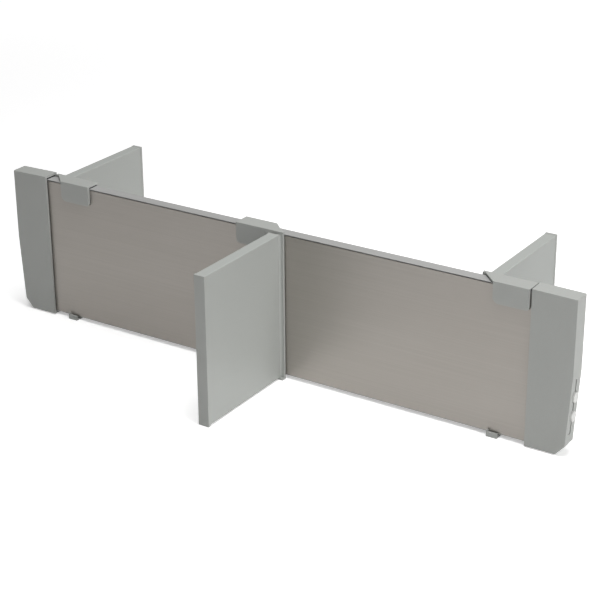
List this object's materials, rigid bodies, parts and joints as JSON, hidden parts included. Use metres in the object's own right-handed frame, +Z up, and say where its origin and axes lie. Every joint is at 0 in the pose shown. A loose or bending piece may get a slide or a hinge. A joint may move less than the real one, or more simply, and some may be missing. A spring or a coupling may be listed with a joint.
{
  "type": "drawer cross divider",
  "caption": "Long thin cross wall with moulded end caps and short partitions that hook over its top rail and slide along it, for dividing a deep drawer.",
  "frame": {"origin": "on the ground, below the middle of the wall in X and Y", "axes": "+X along the wall towards its right end cap, +Y across the wall towards its rear face, +Z up"},
  "size_m": [0.7378, 0.3006, 0.179],
  "materials": {
    "board": "raw fibreboard",
    "brushed_skin": "brushed along its length, satin",
    "rail": "satin anodised",
    "grey_plastic": "fine texture, mid grey",
    "grip_rubber": "matt",
    "zinc_steel": "bright zinc plate",
    "spring_steel": "drawn wire",
    "pale_pad": "smooth, off-white",
    "felt": "pressed felt",
    "grey_paint": "matt powder coat, mid grey"
  },
  "bodies": {
    "wall": {"core_board": "board", "front_skin": "brushed_skin", "rear_skin": "brushed_skin", "top_rail": "rail", "bottom_rail": "rail", "left_end_cap": "grey_plastic", "left_cap_insert": "grey_plastic", "left_grip_strip": "grip_rubber", "left_insert_screws": "zinc_steel", "left_upper_spring": "spring_steel", "left_lower_spring": "spring_steel", "right_end_cap": "grey_plastic", "right_cap_insert": "grey_plastic", "right_grip_strip": "grip_rubber", "right_insert_screws": "zinc_steel", "right_upper_spring": "spring_steel", "right_lower_spring": "spring_steel"},
    "left_partition": {"left_bracket": "grey_plastic", "left_felt_strip": "felt", "left_web_cover": "grey_paint", "left_web_core": "board", "left_base_strip": "grey_plastic", "left_end_trim": "grey_plastic", "left_saddle_clip": "grey_plastic", "left_clip_pins": "zinc_steel", "left_clip_lining": "felt", "left_foot_hook": "grey_plastic", "left_foot_screws": "zinc_steel"},
    "middle_partition": {"middle_bracket": "grey_plastic", "middle_felt_strip": "felt", "middle_web_cover": "grey_paint", "middle_web_core": "board", "middle_base_strip": "grey_plastic", "middle_end_trim": "grey_plastic", "middle_saddle_clip": "grey_plastic", "middle_clip_pins": "zinc_steel", "middle_clip_lining": "felt", "middle_foot_hook": "grey_plastic", "middle_foot_screws": "zinc_steel"},
    "right_partition": {"right_bracket": "grey_plastic", "right_felt_strip": "felt", "right_web_cover": "grey_paint", "right_web_core": "board", "right_base_strip": "grey_plastic", "right_end_trim": "grey_plastic", "right_saddle_clip": "grey_plastic", "right_clip_pins": "zinc_steel", "right_clip_lining": "felt", "right_foot_hook": "grey_plastic", "right_foot_screws": "zinc_steel"},
    "left_upper_pad": {"left_upper_pad": "pale_pad"},
    "left_lower_pad": {"left_lower_pad": "pale_pad"},
    "right_upper_pad": {"right_upper_pad": "pale_pad"},
    "right_lower_pad": {"right_lower_pad": "pale_pad"}
  },
  "joints": [
    {"name": "left_partition_slide", "type": "slide", "parent": "wall", "child": "left_partition", "axis": [1, 0, 0], "range_m": [-0.0017, 0.104]},
    {"name": "middle_partition_slide", "type": "slide", "parent": "wall", "child": "middle_partition", "axis": [1, 0, 0], "range_m": [-0.104, 0.115]},
    {"name": "right_partition_slide", "type": "slide", "parent": "wall", "child": "right_partition", "axis": [1, 0, 0], "range_m": [-0.115, 0.0018]},
    {"name": "left_upper_pad_push", "type": "slide", "parent": "wall", "child": "left_upper_pad", "axis": [-1, 0, 0], "range_m": [-0.0014, 0], "stiffness_N_per_m": 800, "springref_m": 0.002, "deforming": ["left_upper_spring"]},
    {"name": "left_lower_pad_push", "type": "slide", "parent": "wall", "child": "left_lower_pad", "axis": [-1, 0, 0], "range_m": [-0.0014, 0], "stiffness_N_per_m": 800, "springref_m": 0.002, "deforming": ["left_lower_spring"]},
    {"name": "right_upper_pad_push", "type": "slide", "parent": "wall", "child": "right_upper_pad", "axis": [1, 0, 0], "range_m": [-0.0014, 0], "stiffness_N_per_m": 800, "springref_m": 0.002, "deforming": ["right_upper_spring"]},
    {"name": "right_lower_pad_push", "type": "slide", "parent": "wall", "child": "right_lower_pad", "axis": [1, 0, 0], "range_m": [-0.0014, 0], "stiffness_N_per_m": 800, "springref_m": 0.002, "deforming": ["right_lower_spring"]}
  ]
}
